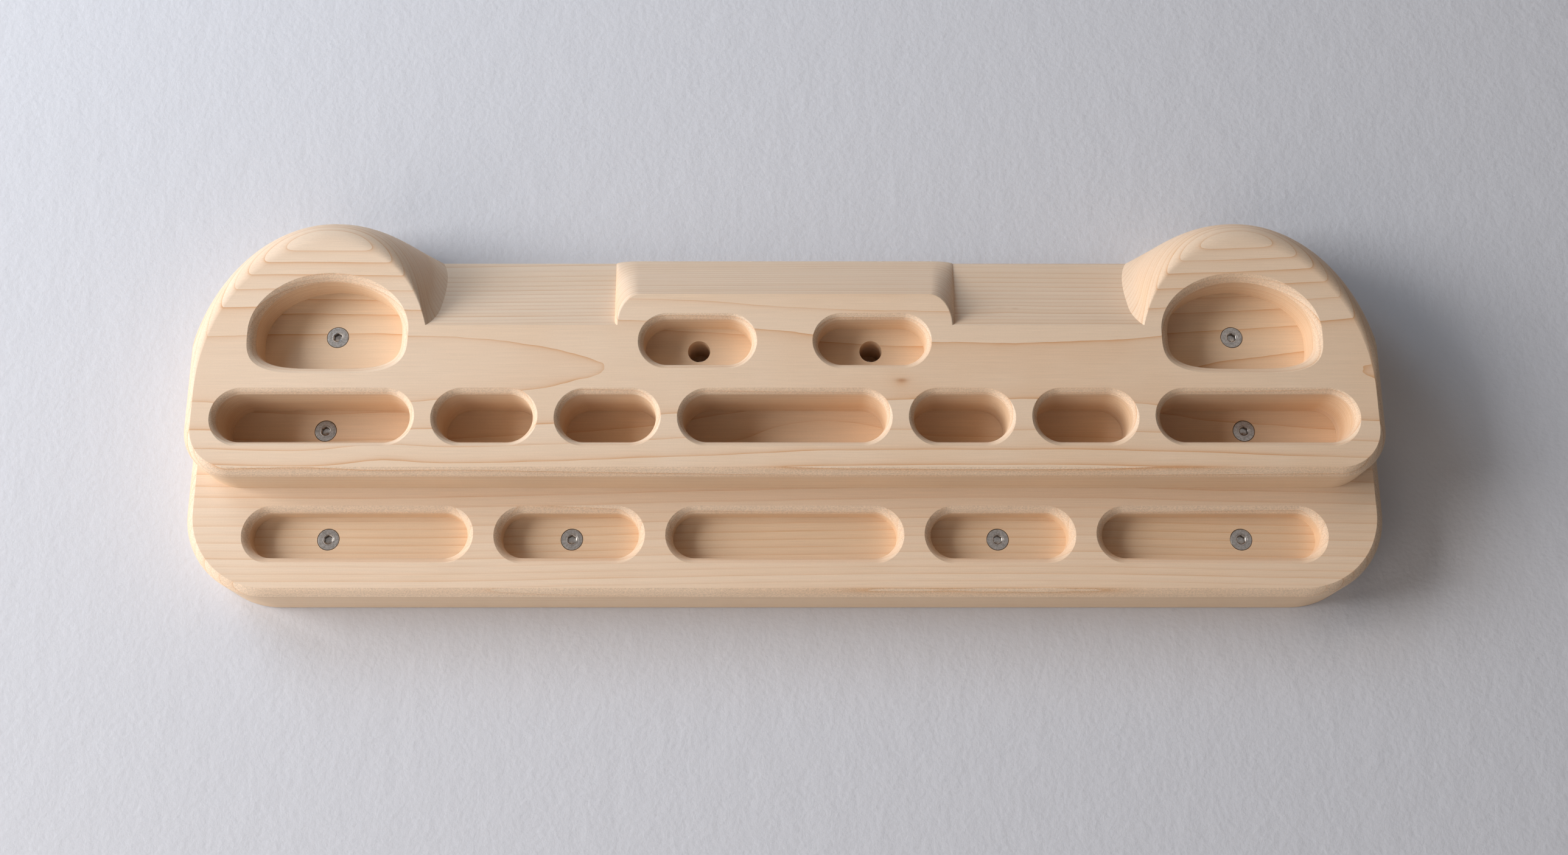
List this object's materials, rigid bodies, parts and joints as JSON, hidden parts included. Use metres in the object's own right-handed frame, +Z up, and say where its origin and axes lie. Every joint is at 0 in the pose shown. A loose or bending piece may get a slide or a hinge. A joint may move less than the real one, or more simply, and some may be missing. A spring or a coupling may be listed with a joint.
{
  "type": "hangboard",
  "caption": "Wooden wall-mounted hangboard for finger training, with rounded jugs, slopers, a central ridge, finger pockets of several depths and countersunk fixing screws.",
  "frame": {"origin": "middle of the flat back face that lies on the wall", "axes": "+X along the board to the climber's right, +Y from the climber into the wall, +Z up"},
  "size_m": [0.6192, 0.109, 0.2076],
  "materials": {
    "maple_front": "sanded, unvarnished pale maple with fine horizontal grain",
    "maple_back": "sanded, unvarnished pale maple with fine horizontal grain",
    "screw_steel": "satin stainless steel, turned head",
    "dowel_beech": "plain turned hardwood"
  },
  "bodies": {
    "root": {"front_board": "maple_front", "back_board": "maple_back", "screw_jug_left": "screw_steel", "screw_row_left": "screw_steel", "screw_low_outer_left": "screw_steel", "screw_low_inner_left": "screw_steel", "screw_jug_right": "screw_steel", "screw_row_right": "screw_steel", "screw_low_outer_right": "screw_steel", "screw_low_inner_right": "screw_steel", "dowel_valley_left": "dowel_beech", "dowel_middle_left": "dowel_beech", "dowel_end_left": "dowel_beech", "dowel_valley_right": "dowel_beech", "dowel_middle_right": "dowel_beech", "dowel_end_right": "dowel_beech"}
  },
  "joints": []
}
